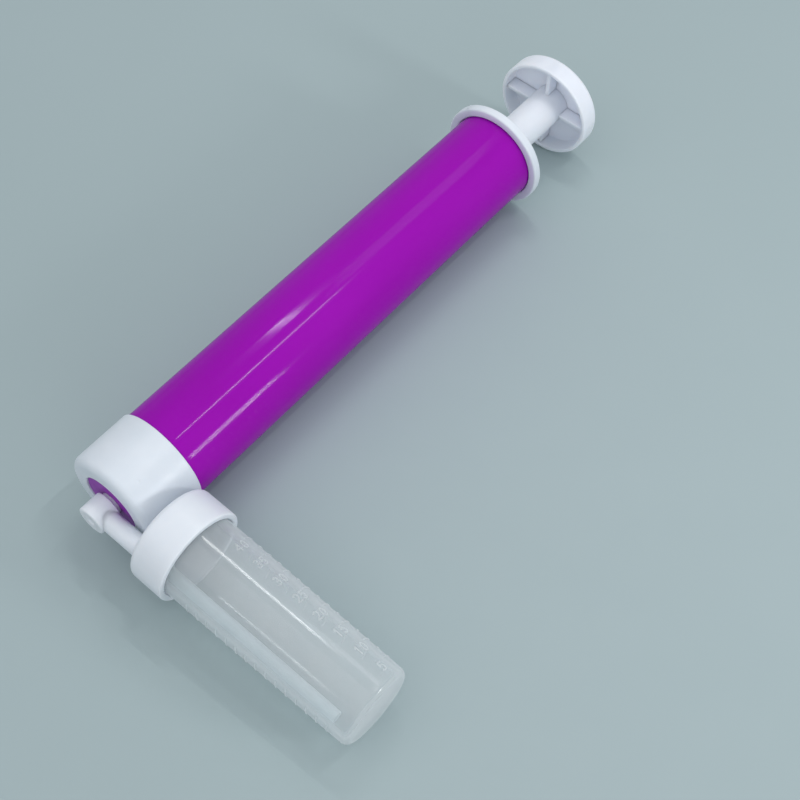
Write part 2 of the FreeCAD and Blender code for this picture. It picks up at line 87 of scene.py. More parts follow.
PUMP = Matrix.Translation(STEM - Vector((STEM_STATION * MM, 0, 0)))
HEAD_X = Vector((1, 0, 0))
HEAD_Z = HEAD_X.cross(-DOWN)
HEAD = Matrix.Translation(STEM) @ Matrix((HEAD_X, -DOWN, HEAD_Z)).transposed().to_4x4()
JAR = HEAD @ Matrix.Translation((JAR_OFFSET * MM, 0, 0))


# ---------------------------------------------------------------- meshes

EDGE_ROUND = 0.12  # of a profile corner that states none
LARGE_ROUND = 0.5  # rounds from here up get more steps
FEW_STEPS, MANY_STEPS = 4, 10
FLAT_HALF_ANGLE = math.radians(88)  # a corner opener than this stays as it is
EDGE_SHARE = 0.49  # of an edge that one round may take
ON_AXIS = 1e-6  # a radius up to this counts as none
WELD = 1e-6  # metres


def arc_points(before, corner, after, radius, steps):
    """Points of the round that replaces a profile corner."""
    corner = np.array(corner, float)
    one = np.array(before, float) - corner
    two = np.array(after, float) - corner
    long_one, long_two = np.linalg.norm(one), np.linalg.norm(two)
    one, two = one / long_one, two / long_two
    half = math.acos(max(-1.0, min(1.0, float(one @ two)))) / 2
    if half > FLAT_HALF_ANGLE:
        return [corner]
    reach = min(radius / math.tan(half), EDGE_SHARE * long_one, EDGE_SHARE * long_two)
    radius = reach * math.tan(half)
    bisector = (one + two) / np.linalg.norm(one + two)
    centre = corner + bisector * radius / math.sin(half)
    start = corner + one * reach - centre
    end = corner + two * reach - centre
    turn = math.atan2(start[0] * end[1] - start[1] * end[0], float(start @ end))
    points = []
    for step in range(steps + 1):
        angle = turn * step / steps
        cosine, sine = math.cos(angle), math.sin(angle)
        points.append(centre + np.array((start[0] * cosine - start[1] * sine,
                                         start[0] * sine + start[1] * cosine)))
    return points


def rounded(corners, closed=True, spacing=4.0):
    """Profile with rounded corners and long edges divided.

    A corner is (along, radius) or (along, radius, round).
    """
    count = len(corners)
    line = []
    for index, corner in enumerate(corners):
        inner = closed or 0 < index < count - 1
        radius = corner[2] if len(corner) > 2 else EDGE_ROUND
        on_axis = abs(corner[1]) <= ON_AXIS
        if inner and radius > 0 and not on_axis:
            steps = FEW_STEPS if radius < LARGE_ROUND else MANY_STEPS
            line += arc_points(corners[index - 1][:2], corner[:2],
                               corners[(index + 1) % count][:2], radius, steps)
        else:
            line.append(np.array(corner[:2], float))
    dense = []
    for index, point in enumerate(line):
        dense.append(point)
        if not closed and index == len(line) - 1:
            break
        following = line[(index + 1) % len(line)]
        pieces = int(np.linalg.norm(following - point) // spacing)
        for piece in range(1, pieces + 1):
            dense.append(point + (following - point) * piece / (pieces + 1))
    return dense


def lathe(profile, segments=160, closed=True, along="x", shape=None):
    """Vertices and faces of a profile turned about the along axis, in millimetres.

    shape, when given, maps arrays of along, radius and angle to a new radius.
    """
    points = np.array(profile, float)
    angles = np.arange(segments) * 2 * math.pi / segments
    length = np.repeat(points[:, 0], segments)
    radius = np.repeat(points[:, 1], segments)
    angle = np.tile(angles, len(points))
    if shape is not None:
        radius = shape(length, radius, angle)
    across, up = radius * np.cos(angle), radius * np.sin(angle)
    if along == "x":
        vertices = np.stack((length, across, up), 1)
    else:
        vertices = np.stack((across, length, up), 1)
    rows = len(points) if closed else len(points) - 1
    return vertices, ring_faces(range(rows), len(points), segments)


def ring_faces(rows, total, segments):
    """Quads from each of the rows to the next, of so many rows of vertices in all."""
    faces = []
    for row in rows:
        this, following = row * segments, (row + 1) % total * segments
        for column in range(segments):
            right = (column + 1) % segments
            faces.append((this + column, this + right, following + right, following + column))
    return faces


def rib(front, back, inner, outer, half):
    """Rib between two radii on the y side, its front edges rounded."""
    edge = 0.3
    outline = rounded([(front, -half, edge), (front, half, edge),
                       (back, half, 0), (back, -half, 0)])
    count = len(outline)
    vertices = [(x, inner, z) for x, z in outline] + [(x, outer, z) for x, z in outline]
    faces = [(i, (i + 1) % count, count + (i + 1) % count, count + i) for i in range(count)]
    faces += [tuple(reversed(range(count))), tuple(range(count, 2 * count))]
    return np.array(vertices, float), faces


def joined(*parts):
    """One list of vertices and faces from several."""
    vertices, faces, base = [], [], 0
    for points, polygons in parts:
        vertices.append(points)
        faces += [tuple(base + index for index in face) for face in polygons]
        base += len(points)
    return np.concatenate(vertices), faces


def turned(part, angle):
    """The part turned about the x axis."""
    points, faces = part
    cosine, sine = math.cos(angle), math.sin(angle)
    new = points.copy()
    new[:, 1] = points[:, 1] * cosine - points[:, 2] * sine
    new[:, 2] = points[:, 1] * sine + points[:, 2] * cosine
    return new, faces


def piece(name, part, matrix, material, node, sharp=32):
    """Object made of the part, riding with the CAD node it replaces."""
    points, faces = part
    mesh = bpy.data.meshes.new(name)
    mesh.from_pydata((points * MM).tolist(), [], faces)
    mesh.transform(matrix)
    mesh.validate()
    mesh.update()
    mesh.polygons.foreach_set("use_smooth", [True] * len(mesh.polygons))
    fix_normals(mesh)
    mesh.set_sharp_from_angle(angle=math.radians(sharp))
    thing = bpy.data.objects.new(name, mesh)
    bpy.context.scene.collection.objects.link(thing)
    mesh.materials.append(material)
    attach(thing, body_of(frame["nodes"][node])[0])
    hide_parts(node)
    return thing


def fix_normals(mesh):
    """Welds doubled vertices, such as a profile's on its axis, and turns the faces outward."""
    work = bmesh.new()
    work.from_mesh(mesh)
    bmesh.ops.remove_doubles(work, verts=work.verts, dist=WELD)
    bmesh.ops.recalc_face_normals(work, faces=work.faces)
    work.to_mesh(mesh)
    work.free()


# ---------------------------------------------------------------- materials

EVEN = (1, 1, 1)
RAMP_START, RAMP_END = 0.3, 0.7
NOISE_LOW, NOISE_HIGH = 0.25, 0.75  # where nearly all of a noise's values lie


class Nodes:
    """Small helper that builds one node material."""

    def __init__(self, name):
        self.material = bpy.data.materials.new(name)
        self.material.use_nodes = True
        self.tree = self.material.node_tree
        self.tree.nodes.clear()
        self.output = self.tree.nodes.new("ShaderNodeOutputMaterial")
        self.place = self.tree.nodes.new("ShaderNodeTexCoord").outputs["Object"]

    def add(self, kind, **values):
        """New node; values set its inputs, or link them when they are sockets."""
        node = self.tree.nodes.new(kind)
        for key, value in values.items():
            if key in node.inputs:
                if isinstance(value, bpy.types.NodeSocket):
                    self.tree.links.new(value, node.inputs[key])
                else:
                    node.inputs[key].default_value = value
            else:
                setattr(node, key, value)
        return node

    def link(self, source, target):
        self.tree.links.new(source, target)

    def noise(self, scale, stretch=EVEN, detail=3.0):
        """Noise over the object, stretched per axis; its factor output."""
        mapping = self.add("ShaderNodeMapping", Vector=self.place, Scale=stretch)
        node = self.add("ShaderNodeTexNoise", Vector=mapping.outputs["Vector"], Scale=scale,
                        Detail=detail, Roughness=0.5)
        return node.outputs["Fac"]

    def ramp(self, factor, low, high):
        """Colour ramp between two colours."""
        node = self.add("ShaderNodeValToRGB", Fac=factor)
        node.color_ramp.elements[0].position = RAMP_START
        node.color_ramp.elements[1].position = RAMP_END
        node.color_ramp.elements[0].color = (*low, 1)
        node.color_ramp.elements[1].color = (*high, 1)
        return node.outputs["Color"]

    def span(self, factor, low, high):
        """Number that follows the factor between two values."""
        node = self.add("ShaderNodeMapRange", Value=factor)
        node.inputs["To Min"].default_value = low
        node.inputs["To Max"].default_value = high
        node.inputs["From Min"].default_value = NOISE_LOW
        node.inputs["From Max"].default_value = NOISE_HIGH
        return node.outputs["Result"]

    def bump(self, factor, height, under=None):
        """Bump of a height in metres."""
        node = self.add("ShaderNodeBump", Height=factor, Distance=height, Strength=1.0)
        if under is not None:
            self.link(under, node.inputs["Normal"])
        return node.outputs["Normal"]

    def mixed(self, share, first, second):
        """Blend of two shaders by a number or a socket."""
        node = self.add("ShaderNodeMixShader", Fac=share)
        self.link(first, node.inputs[1])
        self.link(second, node.inputs[2])
        return node.outputs["Shader"]

    def plastic(self, colour, rough, normal, **values):
        """Principled surface; values set more of its inputs, with _ for each space."""
        node = self.add("ShaderNodeBsdfPrincipled")
        self.link(colour, node.inputs["Base Color"])
        self.link(rough, node.inputs["Roughness"])
        self.link(normal, node.inputs["Normal"])
        for key, value in values.items():
            node.inputs[key.replace("_", " ")].default_value = value
        return node

    def finish(self, shader):
        """The material, showing the shader."""
        self.link(shader, self.output.inputs["Surface"])
        return self.material


def white_plastic(name, low, high, gloss=(0.30, 0.42), glow=0.25):
    """White moulded plastic with fine grain; glow is its subsurface share."""
    n = Nodes(name)
    colour = n.ramp(n.noise(60, detail=4), low, high)
    rough = n.span(n.noise(220, detail=2), *gloss)
    grain = n.bump(n.noise(1400, detail=2), 6e-6)
    normal = n.bump(n.noise(90, detail=1), 4e-5, grain)
    shader = n.plastic(colour, rough, normal, IOR=1.47, Subsurface_Weight=glow,
                       Subsurface_Radius=(1.0, 0.9, 0.85), Subsurface_Scale=0.004)
    return n.finish(shader.outputs["BSDF"])


TINT = (0.62, 0.05, 0.72), (0.70, 0.07, 0.80)  # of light that passes the purple wall


def purple_plastic(name, low, high, gloss, through, streaks):
    """Glossy purple plastic with lengthwise streaks; through is its see-through share."""
    n = Nodes(name)
    colour = n.ramp(n.noise(45, (0.25, 1, 1), detail=3), low, high)
    rough = n.span(n.noise(160, (0.1, 1, 1), detail=3), *gloss)
    lines = n.bump(n.noise(900, (0.012, 1, 1), detail=3), streaks)
    ripple = n.bump(n.noise(330, (0.5, 1, 1), detail=1), 4e-6, lines)
    normal = n.bump(n.noise(70, (0.12, 1, 1), detail=1), 6e-5, ripple)
    shader = n.plastic(colour, rough, normal, IOR=1.45, Specular_IOR_Level=0.16)
    glass = n.add("ShaderNodeBsdfTransparent", Color=n.ramp(n.noise(30), *TINT))
    return n.finish(n.mixed(through, shader.outputs["BSDF"], glass.outputs["BSDF"]))


SKIN_FACE_ON, SKIN_EDGE_ON, SKIN_POWER = 0.03, 0.35, 4.0


def milky_plastic(name, clear, milk, share, gloss, grain_height):
    """Natural polypropylene: a clear share, a milky share and a glossy skin.

    clear and milk are pairs of colours, and share is the milky share face on and edge on.
    """
    n = Nodes(name)
    streak = n.noise(110, (1, 0.06, 1), detail=3)
    rough = n.span(n.noise(260, (1, 0.2, 1), detail=3), *gloss)
    normal = n.bump(n.noise(500, (1, 0.15, 1), detail=3), grain_height)
    glass = n.add("ShaderNodeBsdfTransparent", Color=n.ramp(streak, *clear))
    colour = n.ramp(n.noise(80, detail=4), *milk)
    front = n.add("ShaderNodeBsdfDiffuse", Color=colour, Normal=normal)
    through = n.add("ShaderNodeBsdfTranslucent", Color=colour, Normal=normal)
    milky = n.mixed(0.5, front.outputs["BSDF"], through.outputs["BSDF"])
    facing = n.add("ShaderNodeLayerWeight", Blend=0.30)
    body = n.mixed(n.span(facing.outputs["Facing"], *share), glass.outputs["BSDF"], milky)
    shine = n.add("ShaderNodeBsdfGlossy", Roughness=rough, Normal=normal)
    slant = n.add("ShaderNodeLayerWeight", Blend=0.5, Normal=normal)
    steep = n.add("ShaderNodeMath", operation="POWER")
    n.link(slant.outputs["Facing"], steep.inputs[0])
    steep.inputs[1].default_value = SKIN_POWER
    edge = n.add("ShaderNodeMapRange", Value=steep.outputs["Value"])
    edge.inputs["To Min"].default_value = SKIN_FACE_ON
    edge.inputs["To Max"].default_value = SKIN_EDGE_ON
    return n.finish(n.mixed(edge.outputs["Result"], body, shine.outputs["BSDF"]))


def rubber(name, low, high):
    """Matt moulded rubber."""
    n = Nodes(name)
    colour = n.ramp(n.noise(300, detail=4), low, high)
    rough = n.span(n.noise(500, detail=3), 0.45, 0.65)
    normal = n.bump(n.noise(1800, detail=3), 8e-6)
    return n.finish(n.plastic(colour, rough, normal, IOR=1.5).outputs["BSDF"])


def plated_steel(name):
    """Plated steel with fine turning marks."""
    n = Nodes(name)
    colour = n.ramp(n.noise(400, detail=5), (0.42, 0.43, 0.45), (0.62, 0.63, 0.66))
    rough = n.span(n.noise(900, (0.2, 1, 1), detail=4), 0.22, 0.42)
    normal = n.bump(n.noise(1500, (0.2, 1, 1), detail=3), 5e-6)
    return n.finish(n.plastic(colour, rough, normal, Metallic=1.0).outputs["BSDF"])


MATERIALS = {
    "barrel_purple": purple_plastic("barrel_purple", (0.43, 0.006, 0.54), (0.48, 0.009, 0.60),
                                    (0.07, 0.12), 0.36, 4e-6),
    "plug_purple": purple_plastic("plug_purple", (0.27, 0.025, 0.38), (0.33, 0.03, 0.46),
                                  (0.28, 0.40), 0.0, 1e-6),
    "cap_white": white_plastic("cap_white", (0.68, 0.73, 0.79), (0.74, 0.78, 0.84)),
    # rod_white is lighter and more lavender than the other whites: painted light that lifts the
    # handle's shaded insides, and a painted lavender shade tone.
    "rod_white": white_plastic("rod_white", (0.78, 0.81, 0.90), (0.84, 0.86, 0.93),
                               (0.30, 0.42), 0.6),
    "lid_white": white_plastic("lid_white", (0.72, 0.76, 0.82), (0.78, 0.81, 0.86),
                               (0.32, 0.44), 0.35),
    "seal_black": rubber("seal_black", (0.012, 0.012, 0.013), (0.03, 0.03, 0.032)),
    "gasket_clear": rubber("gasket_clear", (0.62, 0.64, 0.63), (0.74, 0.76, 0.75)),
    "screw_steel": plated_steel("screw_steel"),
    "tube_natural": milky_plastic("tube_natural", ((0.86, 0.92, 0.93), (0.93, 0.97, 0.97)),
                                  ((0.90, 0.94, 0.96), (0.97, 0.99, 1.0)), (0.62, 0.90),
                                  (0.22, 0.32), 4e-6),
    "jar_frosted": milky_plastic("jar_frosted", ((0.975, 0.985, 0.985), (0.99, 0.997, 0.997)),
                                 ((0.93, 0.96, 0.98), (0.98, 0.99, 1.0)), (0.205, 0.62),
                                 (0.08, 0.14), 1e-6),
    # The raised marks' material is milkier and whiter than the jar's: painted brightness that
    # stands in for the light the ridges catch.
    "jar_raised_painted_bright": milky_plastic("jar_raised_painted_bright", ((0.96, 0.97, 0.98), (0.98, 0.99, 0.99)),
                                ((0.96, 0.98, 0.99), (0.99, 1.0, 1.0)), (0.45, 0.75),
                                (0.28, 0.40), 2e-6),
}


# ---------------------------------------------------------------- pump pieces

BARREL_FRONT, BARREL_BACK = 5.0, 200.1
BARREL_RADIUS, BORE_RADIUS, NECK_RADIUS = 17.47, 15.5, 16.6
CAP_BACK, CAP_WALL, CAP_RADIUS, WINDOW_RADIUS = 23.2, 2.4, 18.3, 11.0
PLUG_FACE, PLUG_BACK, PLUG_RADIUS = 0.6, 13.0, 15.45
PORT_RADIUS, SOCKET_RADIUS, SOCKET_END = 1.5, 4.05, 9.2
FLANGE_FRONT, FLANGE_BACK, FLANGE_RADIUS = 199.1, 202.6, 20.9
SLEEVE_FRONT, SLEEVE_INSIDE = 188.1, 13.8
GUIDE_FRONT, GUIDE_BORE, GUIDE_RADIUS = 190.1, 7.25, 8.8
MARK_RADIUS, MARK_REACH, MARK_TURN = 1.2, 20.0, math.radians(40)
DOT_STATION, DOT_TURN, DOT_RADIUS, DOT_DEPTH = 7.0, math.radians(120), 0.45, 0.16
BARREL_SKIN, CAP_SKIN = 17.0, 17.5  # beyond these radii lies the outside


def signed_turn(angle):
    """The angle brought between minus and plus half a turn."""
    return (angle + math.pi) % (2 * math.pi) - math.pi


def barrel_shape(length, radius, angle):
    """Slight unevenness of the extruded tube, on its outside only."""
    wave = (0.020 * np.cos(2 * angle + 0.7) + 0.012 * np.cos(5 * angle + length * 0.006)
            + 0.008 * np.sin(9 * angle - length * 0.011))
    return radius + wave * (radius > BARREL_SKIN)


barrel = lathe(rounded([(BARREL_FRONT, BORE_RADIUS), (BARREL_FRONT, NECK_RADIUS),
                        (CAP_BACK, NECK_RADIUS, 0.2), (CAP_BACK, BARREL_RADIUS, 0.5),
                        (BARREL_BACK, BARREL_RADIUS, 0.3), (BARREL_BACK, BORE_RADIUS, 0.3)],
                       spacing=2.5),
               288, shape=barrel_shape)
piece("barrel", barrel, PUMP, MATERIALS["barrel_purple"], "pump_barrel")


def mould_dot(length, radius, angle):
    """Ejector dimple on the cap's side."""
    distance = np.hypot(length - DOT_STATION, signed_turn(angle - DOT_TURN) * CAP_RADIUS)
    return radius - DOT_DEPTH * np.exp(-(distance / DOT_RADIUS) ** 4) * (radius > CAP_SKIN)


cap = lathe(rounded([(0, WINDOW_RADIUS, 0.4), (0, CAP_RADIUS, 3.0),
                     (CAP_BACK, CAP_RADIUS, 0.4), (CAP_BACK, NECK_RADIUS, 0.15),
                     (CAP_WALL, NECK_RADIUS, 0.3), (CAP_WALL, WINDOW_RADIUS, 0.2)],
                    spacing=0.35),
            384, shape=mould_dot)
piece("front_cap_shell", cap, PUMP, MATERIALS["cap_white"], "front_cap")

plug = lathe(rounded([(PLUG_FACE, SOCKET_RADIUS, 0.25), (PLUG_FACE, 10.9, 0.25),
                      (CAP_WALL, 10.9), (CAP_WALL, NECK_RADIUS),
                      (BARREL_FRONT, NECK_RADIUS), (BARREL_FRONT, PLUG_RADIUS),
                      (7.5, PLUG_RADIUS), (7.5, 13.6), (9.7, 13.6), (9.7, PLUG_RADIUS),
                      (PLUG_BACK, PLUG_RADIUS), (PLUG_BACK, PORT_RADIUS),
                      (SOCKET_END, PORT_RADIUS), (SOCKET_END, SOCKET_RADIUS)]), 192)
piece("outlet_plug_face", plug, PUMP, MATERIALS["plug_purple"], "outlet_plug")

flange = lathe(rounded([(SLEEVE_FRONT, SLEEVE_INSIDE), (SLEEVE_FRONT, PLUG_RADIUS),
                        (BARREL_BACK, PLUG_RADIUS), (BARREL_BACK, 17.75, 0.1),
                        (FLANGE_FRONT, 17.75, 0.25), (FLANGE_FRONT, FLANGE_RADIUS, 0.7),
                        (FLANGE_BACK, FLANGE_RADIUS, 0.7), (FLANGE_BACK, GUIDE_BORE, 0.35),
                        (GUIDE_FRONT, GUIDE_BORE, 0.3), (GUIDE_FRONT, GUIDE_RADIUS, 0.3),
                        (BARREL_BACK, GUIDE_RADIUS, 0.3),
                        (BARREL_BACK, SLEEVE_INSIDE, 0.3)]), 256)
mark_points, mark_faces = lathe(rounded([(199.8, 0.0), (199.8, MARK_RADIUS, 0.25),
                                         (201.9, MARK_RADIUS, 0.25), (201.9, 0.0)],
                                        closed=False), 32, closed=False)
mark_points = mark_points + np.array((0, MARK_REACH * math.sin(MARK_TURN),
                                      MARK_REACH * math.cos(MARK_TURN)))
piece("rear_flange", joined(flange, (mark_points, mark_faces)), PUMP,
      MATERIALS["cap_white"], "rear_cap")


# ---------------------------------------------------------------- plunger pieces

ROD_FRONT, ROD_RADIUS, ROD_BORE = 54.0, 7.2, 5.6
BOSS_FRONT, BOSS_RADIUS = 223.7, 5.55
SKIRT_FRONT, PALM_FLOOR, PALM_BACK = 231.7, 238.3, 240.3
SKIRT_INSIDE, PALM_RADIUS = 18.6, 20.1
RIB_FRONT, RIB_BACK, RIB_INNER, RIB_OUTER, RIB_HALF, RIBS = 232.9, 238.5, 5.3, 18.8, 0.8, 4

rod = lathe(rounded([(ROD_FRONT, ROD_BORE), (ROD_FRONT, ROD_RADIUS, 0.3),
                     (PALM_FLOOR, ROD_RADIUS), (PALM_FLOOR, ROD_BORE)], spacing=6), 128)
piece("rod_tube", rod, PUMP, MATERIALS["rod_white"], "plunger_rod")

disc = lathe(rounded([(BOSS_FRONT, 0.0), (BOSS_FRONT, BOSS_RADIUS, 0.6),
                      (PALM_FLOOR, BOSS_RADIUS), (PALM_FLOOR, SKIRT_INSIDE, 0.5),
                      (SKIRT_FRONT, SKIRT_INSIDE, 0.35), (SKIRT_FRONT, PALM_RADIUS, 0.5),
                      (PALM_BACK, PALM_RADIUS, 2.0), (PALM_BACK, 0.0)], closed=False),
             256, closed=False)
ribs = [turned(rib(RIB_FRONT, RIB_BACK, RIB_INNER, RIB_OUTER, RIB_HALF),
               2 * math.pi / RIBS * index) for index in range(RIBS)]
piece("palm_handle", joined(disc, *ribs), PUMP, MATERIALS["rod_white"], "handle_knob")


# ---------------------------------------------------------------- spray head pieces

KNOB_FRONT, KNOB_BACK, KNOB_RADIUS = -4.3, 3.9, 5.4
SPIGOT_RADIUS, SPIGOT_END, GROOVE_RADIUS = 4.0, 13.3, 3.1
SEAT_END, SEAT_RADIUS, CHAMBER_END, CHAMBER_RADIUS = -1.9, 3.0, 1.7, 1.6
STEM_RADIUS, STEM_FOOT, FOOT_TOP, FOOT_RADIUS = 3.6, -20.4, -19.2, 5.3
TAIL_END, TAIL_RADIUS, TUBE_SEAT, TUBE_RADIUS, SUCTION_RADIUS = -30.4, 3.4, -22.4, 2.3, 1.3
FLARE, FLARE_ALONG, FLARE_STEPS, FLARE_SINK = 0.9, 0.22, 8, 0.06
LID_RIM, LID_FLOOR, LID_RADIUS, LID_BORE = -34.6, -22.6, 17.5, 15.4
TUBE_END, TUBE_BORE = -101.5, 1.6

knob = lathe(rounded([(KNOB_FRONT, SEAT_RADIUS), (KNOB_FRONT, KNOB_RADIUS, 0.6),
                      (KNOB_BACK, KNOB_RADIUS, 0.6), (KNOB_BACK, SPIGOT_RADIUS, 0.3),
                      (8.6, SPIGOT_RADIUS), (8.6, GROOVE_RADIUS),
                      (9.6, GROOVE_RADIUS), (9.6, SPIGOT_RADIUS),
                      (SPIGOT_END, SPIGOT_RADIUS, 0.4), (SPIGOT_END, 1.5),
                      (4.0, 1.5), (4.0, 0.6), (CHAMBER_END, 0.6),
                      (CHAMBER_END, CHAMBER_RADIUS), (SEAT_END, CHAMBER_RADIUS),
                      (SEAT_END, SEAT_RADIUS)]), 128)


def stem_part(segments=96):
    """Stem with its foot, tail and bore, flared where it meets the knob."""
    rows = []
    angles = np.arange(segments) * 2 * math.pi / segments
    for step in reversed(range(FLARE_STEPS + 1)):
        turn = math.pi / 2 * step / FLARE_STEPS
        spread = 1 - math.cos(turn)
        x = (STEM_RADIUS + FLARE_ALONG * spread) * np.cos(angles)
        z = (STEM_RADIUS + FLARE * spread) * np.sin(angles)
        on_knob = np.sqrt(KNOB_RADIUS ** 2 - z ** 2)
        y = -(on_knob - FLARE_SINK + FLARE * (1 - math.sin(turn)))
        rows.append(np.stack((x, y, z), 1))
    below = rounded([(-8.5, STEM_RADIUS, 0), (FOOT_TOP, STEM_RADIUS, 0.5),
                     (FOOT_TOP, FOOT_RADIUS, 0.35), (STEM_FOOT, FOOT_RADIUS, 0.1),
                     (STEM_FOOT, TAIL_RADIUS, 0.1), (TAIL_END, TAIL_RADIUS, 0.5),
                     (TAIL_END, TUBE_RADIUS, 0.1), (TUBE_SEAT, TUBE_RADIUS, 0.1),
                     (TUBE_SEAT, SUCTION_RADIUS, 0.1), (-4.0, SUCTION_RADIUS, 0)],
                    closed=False)
    for y, radius in below:
        rows.append(np.stack((radius * np.cos(angles), np.full(segments, y),
                              radius * np.sin(angles)), 1))
    return np.concatenate(rows), ring_faces(range(len(rows)), len(rows), segments)


piece("spray_elbow_shell", joined(knob, stem_part()), HEAD, MATERIALS["lid_white"],
      "spray_elbow")

tip = lathe(rounded([(KNOB_FRONT, 1.7, 0.15), (KNOB_FRONT, SEAT_RADIUS, 0.2),
                     (SEAT_END, SEAT_RADIUS), (SEAT_END, 0.9), (-3.3, 0.9, 0.1)]), 96)
piece("orifice_tip", tip, HEAD, MATERIALS["lid_white"], "nozzle_tip")

lid = lathe(rounded([(STEM_FOOT, 0.0), (STEM_FOOT, LID_RADIUS, 2.2),
                     (LID_RIM, LID_RADIUS, 0.6), (LID_RIM, LID_BORE, 0.35),
                     (LID_FLOOR, LID_BORE, 0.4), (LID_FLOOR, 0.0)],
                    closed=False, spacing=1.5),
            256, closed=False, along="y")
piece("lid_shell", lid, JAR, MATERIALS["lid_white"], "jar_lid")

tube = lathe(rounded([(TUBE_SEAT, TUBE_BORE), (TUBE_SEAT, TUBE_RADIUS),
                      (TUBE_END, TUBE_RADIUS, 0.15), (TUBE_END, TUBE_BORE, 0.15)],
                     spacing=5), 64, along="y")
piece("suction_tube", tube, HEAD, MATERIALS["tube_natural"], "dip_tube")


# ---------------------------------------------------------------- jar

MOUTH, BASE = 23.5, 109.25  # drops below the nozzle's axis
FLOOR_WALL = 1.5
MOUTH_RADIUS, BASE_RADIUS, MOUTH_BORE, FLOOR_BORE = 15.05, 14.3, 14.0, 13.3
BEAD_RADIUS, BASE_ROUND, FLOOR_ROUND = 15.33, 2.6, 1.6
TICK_LOWEST, TICK_PITCH, TICKS = 77.9, 4.12, 15
TICK_HALF, RAISED = 0.22, 0.24
SHOULDER, SHOULDER_OUTSIDE = 0.16, 0.10  # of a raised line, across it
TAPER, TAPER_RADIUS, FAR_OFF = 0.2, 15.0, 9.0
# Half the marks' widths on the flank at angle 0, and all marks' on the one opposite.
MAJOR_REACH, MINOR_REACH, FAR_REACH = math.radians(42), math.radians(30), math.radians(14)
LABEL_STEP, LABEL_TURN, LABEL_SINK = 5, math.radians(57.0), 2.0
DIGIT_WIDE, DIGIT_HIGH, DIGIT_PITCH, STROKE = 2.1, 3.0, 3.0, 0.46
RELIEF_TOP, RELIEF_END, FINE_TOP, FINE_END = 42.0, 106.0, 42.5, 105.5


def curve(cx, cy, rx, ry, start, end, steps=12):
    """Points of an elliptic stroke between two angles in degrees."""
    turns = [math.radians(start + (end - start) * i / steps) for i in range(steps + 1)]
    return [(cx + rx * math.cos(turn), cy + ry * math.sin(turn)) for turn in turns]


# Strokes of the raised digits in a box 1 wide and 1 high, y up.
DIGITS = {
    "0": [curve(0.5, 0.5, 0.42, 0.5, 0, 360, 24)],
    "1": [[(0.25, 0.78), (0.55, 1.0), (0.55, 0.0)]],
    "2": [curve(0.5, 0.70, 0.40, 0.30, 160, -30) + [(0.08, 0.0), (0.95, 0.0)]],
    "3": [curve(0.48, 0.74, 0.36, 0.26, 140, -90), curve(0.48, 0.26, 0.42, 0.26, 90, -140)],
    "4": [[(0.72, 0.0), (0.72, 1.0), (0.05, 0.30), (1.0, 0.30)]],
    "5": [[(0.88, 1.0), (0.22, 1.0), (0.14, 0.54)] + curve(0.48, 0.33, 0.42, 0.33, 130, -140)],
}


def outer_radius(drop):
    """Radius of the jar's outside at a drop below the nozzle's axis."""
    return MOUTH_RADIUS + (BASE_RADIUS - MOUTH_RADIUS) * (drop - MOUTH) / (BASE - MOUTH)


def inner_radius(drop):
    """Radius of the jar's inside at a drop below the nozzle's axis."""
    depth = BASE - FLOOR_WALL - MOUTH
    return MOUTH_BORE + (FLOOR_BORE - MOUTH_BORE) * (drop - MOUTH) / depth


def ridge(distance, half_width):
    """Height of a raised line with soft shoulders."""
    return RAISED * np.clip((half_width + SHOULDER_OUTSIDE - distance) / SHOULDER, 0, 1)


def segment_distance(u, v, one, two):
    """Distance of points from a line segment."""
    along = two - one
    share = ((u - one[0]) * along[0] + (v - one[1]) * along[1]) / float(along @ along)
    share = np.clip(share, 0, 1)
    return np.hypot(u - one[0] - share * along[0], v - one[1] - share * along[1])


def tick_height(drop, angle, level, reach):
    """Height of one graduation mark, on the flanks at angle 0 and half a turn."""
    height = np.zeros_like(drop)
    line = ridge(np.abs(drop - level), TICK_HALF)
    for middle, limit in ((0.0, reach), (math.pi, FAR_REACH)):
        turn = np.abs(signed_turn(angle - middle))
        height = np.maximum(height, line * np.clip((limit - turn) * TAPER_RADIUS / TAPER, 0, 1))
    return height


def label_height(drop, angle, level, text):
    """Height of one raised number."""
    height = np.zeros_like(drop)
    across = -(angle - LABEL_TURN) * outer_radius(level)
    upward = -(drop - level - LABEL_SINK)
    for order, digit in enumerate(text):
        left = (order - (len(text) - 1) / 2) * DIGIT_PITCH - DIGIT_WIDE / 2
        u, v = across - left, upward + DIGIT_HIGH / 2
        near = (u > -1) & (u < DIGIT_WIDE + 1) & (v > -1) & (v < DIGIT_HIGH + 1)
        nearest = np.full(int(near.sum()), FAR_OFF)
        for stroke in DIGITS[digit]:
            path = np.array(stroke) * (DIGIT_WIDE, DIGIT_HIGH)
            for one, two in zip(path[:-1], path[1:]):
                nearest = np.minimum(nearest, segment_distance(u[near], v[near], one, two))
        height[near] = np.maximum(height[near], ridge(nearest, STROKE / 2))
    return height


def relief(drop, angle):
    """Height of the graduation marks and numbers on the jar's wall."""
    height = np.zeros_like(drop)
    for index in range(TICKS):
        level = MOUTH + TICK_LOWEST - index * TICK_PITCH
        major = index % 2 == 0
        reach = MAJOR_REACH if major else MINOR_REACH
        height = np.maximum(height, tick_height(drop, angle, level, reach))
        if major:
            text = str(LABEL_STEP * (1 + index // 2))
            height = np.maximum(height, label_height(drop, angle, level, text))
    return height


